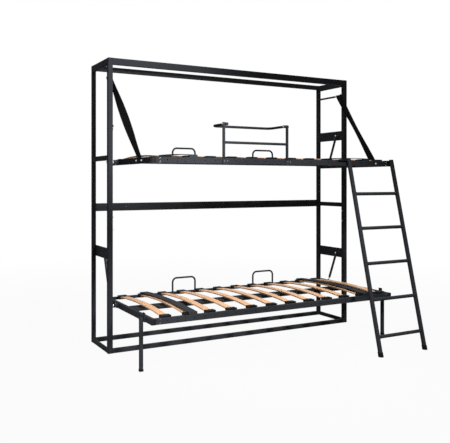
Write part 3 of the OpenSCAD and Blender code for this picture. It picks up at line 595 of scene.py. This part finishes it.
def build_strap(name, side):
    points, start, stop = strap_path(side)
    twist = LEFT_TWIST if side < 0 else RIGHT_TWIST
    frames = strap_frames(points, twist, TAIL_STEPS + WRAP_STEPS, len(points) - CLAMP_STEPS)
    section = strap_section(STRAP_W / 2, STRAP_T / 2)
    lengths = [0.0]
    for a, b in zip(points, points[1:]):
        lengths.append(lengths[-1] + (b - a).length)

    def fill(bm):
        uv_layer = bm.loops.layers.uv.new("UVMap")
        rings = []
        for p, _, width, normal in frames:
            rings.append([p + width * a + normal * b for a, b in section])
        made = skin_rings(bm, rings)
        place = {}
        for ring, along in zip(made, lengths):
            for vert, (across, _) in zip(ring, section):
                place[vert] = (across, along)
        for face in bm.faces:
            for loop in face.loops:
                loop[uv_layer].uv = place[loop.vert]

    strap = make_piece(name, fill, finishes["webbing"])
    stitches = build_stitches(name + "_stitches", frames, lengths)
    a = Vector((side * start.x, start.y, start.z - KEEPS_TO_FRAME))
    b = Vector((side * stop.x, stop.y, stop.z + KEEPS_TO_BED))
    for piece in (strap, stitches):
        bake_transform(piece)
    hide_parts(name[:-len("_webbing")])


def strap_at(frames, lengths, along):
    """The strap's place a given length from its start, between the two stations on either side."""
    for i in range(len(lengths) - 1):
        if lengths[i + 1] >= along:
            t = (along - lengths[i]) / (lengths[i + 1] - lengths[i])
            return tuple(a.lerp(b, t) for a, b in zip(frames[i], frames[i + 1]))
    return frames[-1]


def build_stitches(name, frames, lengths):
    """A sewn box with a cross in it, through both layers below the bar."""
    seam_from = lengths[TAIL_STEPS + WRAP_STEPS - 1] + SEAM_BELOW_BAR
    seam_to = seam_from + SEAM_L
    half = STRAP_W / 2 - SEAM_EDGE
    corners = [(-half, seam_from), (half, seam_from), (half, seam_to), (-half, seam_to)]
    seams = list(zip(corners, corners[1:] + corners[:1]))
    seams += [(corners[0], corners[2]), (corners[1], corners[3])]

    def fill(bm):
        for (a0, l0), (a1, l1) in seams:
            length = math.hypot(a1 - a0, l1 - l0)
            count = int(length / (STITCH_L * STITCH_PITCH))
            for i in range(count):
                t = (i + 0.5) / count
                p, direction, width, normal = strap_at(frames, lengths, l0 + (l1 - l0) * t)
                along = (width * (a1 - a0) + direction * (l1 - l0)).normalized()
                centre = p + width * (a0 + (a1 - a0) * t) + normal * (STRAP_T / 2)
                add_stitch(bm, centre, along, normal)

    return make_piece(name, fill, finishes["thread"])


def add_stitch(bm, centre, along, normal):
    """One thread, a small bead that dips into the cloth at both ends."""
    sideways = along.cross(normal).normalized()
    rings = []
    for s in (-1, -0.5, 0, 0.5, 1):
        rise = STITCH_R * (STITCH_RISE - STITCH_DIP * s * s)
        r = STITCH_R * (1 - STITCH_TAPER * s * s)
        middle = centre + along * (s * STITCH_L / 2) + normal * rise
        ring = []
        for k in range(STITCH_SIDES):
            turn = 2 * math.pi * k / STITCH_SIDES
            ring.append(middle + sideways * (r * math.cos(turn)) + normal * (r * math.sin(turn)))
        rings.append(ring)
    skin_rings(bm, rings)


build_strap("left_strap_webbing", -1)
build_strap("right_strap_webbing", 1)


# Weld beads

def add_bead(bm, stations, leg, closed, wobble):
    """A rippled quarter-round of weld.

    Each station is a point of the corner and the normals of the two faces that meet there.
    """
    rings = []
    along = 0.0
    phase = wobble.uniform(0, 2 * math.pi)
    for i, (corner, first, second) in enumerate(stations):
        if i:
            along += (corner - stations[i - 1][0]).length
        ripple = RIPPLE_SHARE * math.sin(2 * math.pi * along / RIPPLE + phase)
        swell = 1 + ripple + wobble.uniform(-CHANCE_SHARE, CHANCE_SHARE)
        if not closed and i in (0, len(stations) - 1):
            swell *= END_SHARE
        ring = [corner - (first + second) * (ROOT_SHARE * leg)]
        for k in range(ARC_STEPS + 1):
            turn = math.pi / 2 * k / ARC_STEPS
            ring.append(corner + (first * math.cos(turn) + second * math.sin(turn)) * (leg * swell))
        rings.append(ring)
    if closed:
        rings.append(rings[0])
    skin_rings(bm, rings, closed_ends=not closed)


def straight_stations(start, stop, first, second):
    """Stations about a quarter ripple apart, between two points of one straight corner."""
    count = max(2, int((stop - start).length / RIPPLE * RIPPLE_STEPS))
    return [(start.lerp(stop, i / count), first, second) for i in range(count + 1)]


def frame_corners():
    """Start, end and the two face normals of the inner corners where rails and bars meet the uprights."""
    up, down = Vector((0, 0, 1)), Vector((0, 0, -1))
    front_back_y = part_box("front_uprights")[1].y
    rear_front_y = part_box("rear_uprights")[0].y
    long_rails = (
        ("top_front_rail", (down,)),
        ("top_rear_rail", (down,)),
        ("mid_rear_rail", (up, down)),
        ("bottom_front_rail", (up,)),
        ("bottom_rear_rail", (up,)),
    )
    end_rails = (("top_end_rails", (down,)), ("end_bars", (up, down)), ("bottom_end_rails", (up,)))
    corners = []
    for node, edges in long_rails:
        low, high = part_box(node)
        for side, x in ((1, low.x), (-1, high.x)):
            for edge in edges:
                z = high.z if edge.z > 0 else low.z
                ends = [Vector((x, y, z)) for y in (low.y + BEAD_INSET, high.y - BEAD_INSET)]
                corners.append((*ends, edge, Vector((side, 0, 0))))
    for node, edges in end_rails:
        for low, high in solids(node):
            inward = -1 if low.x > 0 else 1
            inner_x = low.x if low.x > 0 else high.x
            for y, normal in ((front_back_y, Vector((0, 1, 0))), (rear_front_y, Vector((0, -1, 0)))):
                for edge in edges:
                    z = high.z if edge.z > 0 else low.z
                    ends = [Vector((x, y, z)) for x in (low.x + BEAD_INSET, high.x - BEAD_INSET)]
                    corners.append((*ends, edge, normal))
                ends = [Vector((inner_x, y, z)) for z in (low.z + BEAD_INSET, high.z - BEAD_INSET)]
                corners.append((*ends, Vector((inward, 0, 0)), normal))
    return corners


def build_frame_welds():
    wobble = random.Random(FRAME_SEED)

    def fill(bm):
        for start, stop, first, second in frame_corners():
            stations = straight_stations(start, stop, first, second)
            add_bead(bm, stations, BEAD_LEG, closed=False, wobble=wobble)

    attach(make_piece("frame_welds", fill, coat), "frame")


def rung_stations(middle, side, stile_x, rung_r, stile_r, lean):
    """Stations round a rung where it meets a round stile that leans."""
    upward = Vector((0, math.sin(lean), math.cos(lean)))
    across = Vector((0, math.cos(lean), -math.sin(lean)))
    count = int(2 * math.pi * rung_r / RIPPLE * RIPPLE_STEPS)
    stations = []
    for i in range(count):
        turn = 2 * math.pi * i / count
        outward = upward * math.cos(turn) + across * math.sin(turn)
        off = rung_r * math.sin(turn)
        reach = math.sqrt(stile_r ** 2 - off ** 2)
        corner = Vector((stile_x + side * reach, middle.y, middle.z)) + outward * rung_r
        stile_normal = Vector((side * reach, 0, 0)) + across * off
        stations.append((corner, outward, stile_normal.normalized()))
    return stations


def build_ladder_welds():
    wobble = random.Random(LADDER_SEED)
    rungs = solids("ladder_rungs")
    middles = [(low + high) / 2 for low, high in rungs]
    rise = middles[-1] - middles[0]
    lean = math.atan2(rise.y, rise.z)
    low, high = rungs[0]
    rung_r = (high.z - low.z) / 2

    def fill(bm):
        for middle in middles:
            for side, stile_x in ((1, LADDER_X0), (-1, LADDER_X1)):
                stations = rung_stations(middle, side, stile_x, rung_r, STILE_R, lean)
                add_bead(bm, stations, RUNG_BEAD_LEG, closed=True, wobble=wobble)

    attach(make_piece("ladder_welds", fill, coat), "ladder")


def build_guard_welds():
    """Beads where the guard's middle rail meets its two posts."""
    wobble = random.Random(GUARD_SEED)
    rail_low, rail_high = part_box("guard_mid_rail")
    middle = (rail_low + rail_high) / 2
    rail_r = (rail_high.z - rail_low.z) / 2
    posts = sorted(solids("guard_posts"), key=lambda c: c[0].x)

    def fill(bm):
        for (low, high), side in zip(posts, (1, -1)):
            post_x = (low.x + high.x) / 2
            post_r = (high.x - low.x) / 2
            stations = rung_stations(middle, side, post_x, rail_r, post_r, lean=0.0)
            add_bead(bm, stations, HOOP_BEAD_LEG, closed=True, wobble=wobble)

    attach(make_piece("guard_welds", fill, coat), "upper_bed")


def foot_stations(foot, rod_r):
    """Stations on three quarters of a rod's foot, open at the back where the rail ends."""
    count = int(FOOT_TURN * rod_r / RIPPLE * RIPPLE_STEPS)
    stations = []
    for i in range(count + 1):
        turn = FOOT_FROM + FOOT_TURN * i / count
        outward = Vector((math.cos(turn), math.sin(turn), 0))
        stations.append((foot + outward * rod_r, outward, Vector((0, 0, 1))))
    return stations


def build_hoop_welds(bed):
    """Beads round the feet of a bed's two mattress hoops."""
    wobble = random.Random(HOOP_SEED)

    def fill(bm):
        for low, high in solids(bed + "_mattress_hoops"):
            rod_r = (high.y - low.y) / 2
            for x in (low.x + rod_r, high.x - rod_r):
                foot = Vector((x, (low.y + high.y) / 2, low.z))
                stations = foot_stations(foot, rod_r)
                add_bead(bm, stations, HOOP_BEAD_LEG, closed=False, wobble=wobble)

    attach(make_piece(bed + "_hoop_welds", fill, coat), bed + "_bed")


build_frame_welds()
build_ladder_welds()
build_guard_welds()
build_hoop_welds("upper")
build_hoop_welds("lower")


# Screw heads, and painted shade where their hex sockets are

def ring_round(centre, outward, radius, count):
    """Points round an axis that lies level."""
    first = Vector((0, 0, 1))
    second = outward.cross(first)
    turns = [2 * math.pi * k / count for k in range(count)]
    return [centre + (first * math.cos(turn) + second * math.sin(turn)) * radius for turn in turns]


def head_axis(low, high):
    """Outward direction and height of a screw head on a bed's end or front."""
    size = high - low
    if size.x < size.y:
        return Vector((math.copysign(1, low.x), 0, 0)), size.x
    return Vector((0, -1, 0)), size.y


def add_socket_shade(bm, low, high):
    """A thin dark hexagon on a screw head, painted shade where its hex socket is."""
    outward, height = head_axis(low, high)
    face = (low + high) / 2 + outward * (height / 2)
    radius = (high.z - low.z) * SOCKET_SHARE
    lifts = (0.0, SOCKET_T)
    skin_rings(bm, [ring_round(face + outward * lift, outward, radius, SOCKET_SIDES) for lift in lifts])


def add_head(bm, low, high):
    """A pan head with a rounded shoulder."""
    outward, height = head_axis(low, high)
    foot = (low + high) / 2 - outward * (height / 2)
    radius = (high.z - low.z) / 2
    rings = []
    for lift, share in HEAD_PROFILE:
        rings.append(ring_round(foot + outward * (lift * height), outward, radius * share, HEAD_SIDES))
    skin_rings(bm, rings)


def lower_heads():
    """Low and high corners of the lower bed's heads.

    They are those on the upper bed's pivot plates and corners, moved down.
    """
    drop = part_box("lower_front_rail")[0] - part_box("upper_front_rail")[0]
    plates_low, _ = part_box("upper_pivot_plates")
    brackets_low, brackets_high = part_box("guard_brackets")
    heads = []
    for low, high in solids("upper_bolts"):
        outward, _ = head_axis(low, high)
        middle = (low + high) / 2
        on_plate = outward.x != 0 and middle.y > plates_low.y
        on_corner = outward.y != 0 and not brackets_low.x < middle.x < brackets_high.x
        if on_plate or on_corner:
            heads.append((low + drop, high + drop))
    return heads


def rail_bolt():
    """Low and high corner of the bolt that the photo shows near the right end of the upper front rail."""
    rail_low, rail_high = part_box("upper_front_rail")
    rail_middle = (rail_low + rail_high) / 2
    half = Vector((RAIL_BOLT_D, RAIL_BOLT_H, RAIL_BOLT_D)) / 2
    middle = Vector((rail_high.x - RAIL_BOLT_IN, rail_low.y - half.y, rail_middle.z))
    return middle - half, middle + half


def build_heads(name, heads, add_shape, finish, body, smooth):
    def fill(bm):
        for low, high in heads:
            add_shape(bm, low, high)

    piece = make_piece(name, fill, finish, smooth)
    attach(piece, body)


# The sockets are painted shade: dark hexagons that lie on the heads, with no recess
build_heads("bolt_socket_shades", solids("upper_bolts"), add_socket_shade, socket_shade, "upper_bed", smooth=False)
build_heads("upper_rail_bolt", [rail_bolt()], add_head, finishes["zinc_steel"], "upper_bed", smooth=True)
build_heads("lower_bolts", lower_heads(), add_head, dull_zinc, "lower_bed", smooth=True)
build_heads("lower_bolt_socket_shades", lower_heads(), add_socket_shade, socket_shade, "lower_bed", smooth=False)


# Floor, world, lights and camera

def floor_material():
    """Floor that reads as white to the camera and in reflections, and keeps a faint shadow."""
    mat, tree, shader = new_material("floor")
    shader.inputs["Base Color"].default_value = (*FLOOR_GREY, 1)
    shader.inputs["Roughness"].default_value = FLOOR_ROUGH
    shader.inputs["Specular IOR Level"].default_value = FLOOR_GLOSS
    glow = add_node(tree, "ShaderNodeEmission", {"Color": (*WHITE, 1), "Strength": 1.0})
    distance = add_node(tree, "ShaderNodeVectorMath", operation="LENGTH")
    tree.links.new(object_coords(tree), distance.inputs[0])
    share = spread(tree, distance.outputs["Value"], FLOOR_NEAR, 1.0, start=FADE_FROM, stop=FADE_TO)
    mix = add_node(tree, "ShaderNodeMixShader")
    tree.links.new(combine(tree, "MULTIPLY", seen_rays(tree), share), mix.inputs["Fac"])
    tree.links.new(shader.outputs["BSDF"], mix.inputs[1])
    tree.links.new(glow.outputs["Emission"], mix.inputs[2])
    tree.links.new(mix.outputs["Shader"], tree.nodes["Material Output"].inputs["Surface"])
    return mat


def build_floor():
    mesh = bpy.data.meshes.new("floor")
    h = FLOOR_SIZE / 2
    mesh.from_pydata([(-h, -h, 0), (h, -h, 0), (h, h, 0), (-h, h, 0)], [], [(0, 1, 2, 3)])
    mesh.materials.append(floor_material())
    obj = bpy.data.objects.new("floor", mesh)
    obj.location.z = -FLOOR_DROP
    bpy.context.scene.collection.objects.link(obj)


def build_world():
    """White to the camera and in reflections, and a low even light on the object."""
    world = bpy.data.worlds.new("studio")
    world.use_nodes = True
    bpy.context.scene.world = world
    tree = world.node_tree
    background = tree.nodes["Background"]
    background.inputs["Color"].default_value = (*WHITE, 1)
    strength = spread(tree, seen_rays(tree), AMBIENT, 1.0, start=0.0, stop=1.0)
    tree.links.new(strength, background.inputs["Strength"])


def aim_light(light, place, target, watts):
    light.energy = watts
    obj = bpy.data.objects.new(light.name, light)
    obj.location = place
    obj.rotation_euler = (Vector(target) - Vector(place)).to_track_quat("-Z", "Y").to_euler()
    bpy.context.scene.collection.objects.link(obj)


def add_softbox(name, place, target, size, watts):
    light = bpy.data.lights.new(name, "AREA")
    light.shape = "RECTANGLE"
    light.size, light.size_y = size
    aim_light(light, place, target, watts)


def add_spot(name, place, target, cone_degrees, watts):
    """A soft round pool of light that fades from its middle to its rim."""
    light = bpy.data.lights.new(name, "SPOT")
    light.spot_size = math.radians(cone_degrees)
    light.spot_blend = 1.0
    light.shadow_soft_size = LAMP_R
    aim_light(light, place, target, watts)


def build_camera():
    camera = bpy.data.cameras.new("camera")
    camera.sensor_fit = "HORIZONTAL"
    camera.sensor_width = SENSOR_MM
    camera.lens = FOCAL_PX * SENSOR_MM / IMAGE_W
    camera.shift_y = -(IMAGE_H / 2 - HORIZON_ROW) / IMAGE_W
    camera.clip_end = CAMERA_REACH
    obj = bpy.data.objects.new("camera", camera)
    obj.location = CAMERA_AT
    obj.rotation_euler = (math.pi / 2, 0, -CAMERA_YAW)
    bpy.context.scene.collection.objects.link(obj)
    bpy.context.scene.camera = obj


build_floor()
build_world()
add_spot("key", place=(-0.95, -4.6, 1.8), target=(-0.95, -0.4, 1.8), cone_degrees=28, watts=1050)
add_spot("fill", place=(0.0, -3.3, 3.1), target=(-0.1, -1.0, 0.25), cone_degrees=54, watts=560)
add_spot("kicker", place=(-2.4, -3.0, 0.9), target=(-0.95, -0.9, 0.28), cone_degrees=26, watts=250)
add_softbox("top", place=(0.1, -0.5, 5.0), target=(0.1, -0.5, 0.5), size=(3.6, 3.0), watts=112)
build_camera()
bpy.context.scene.view_settings.view_transform = "Standard"
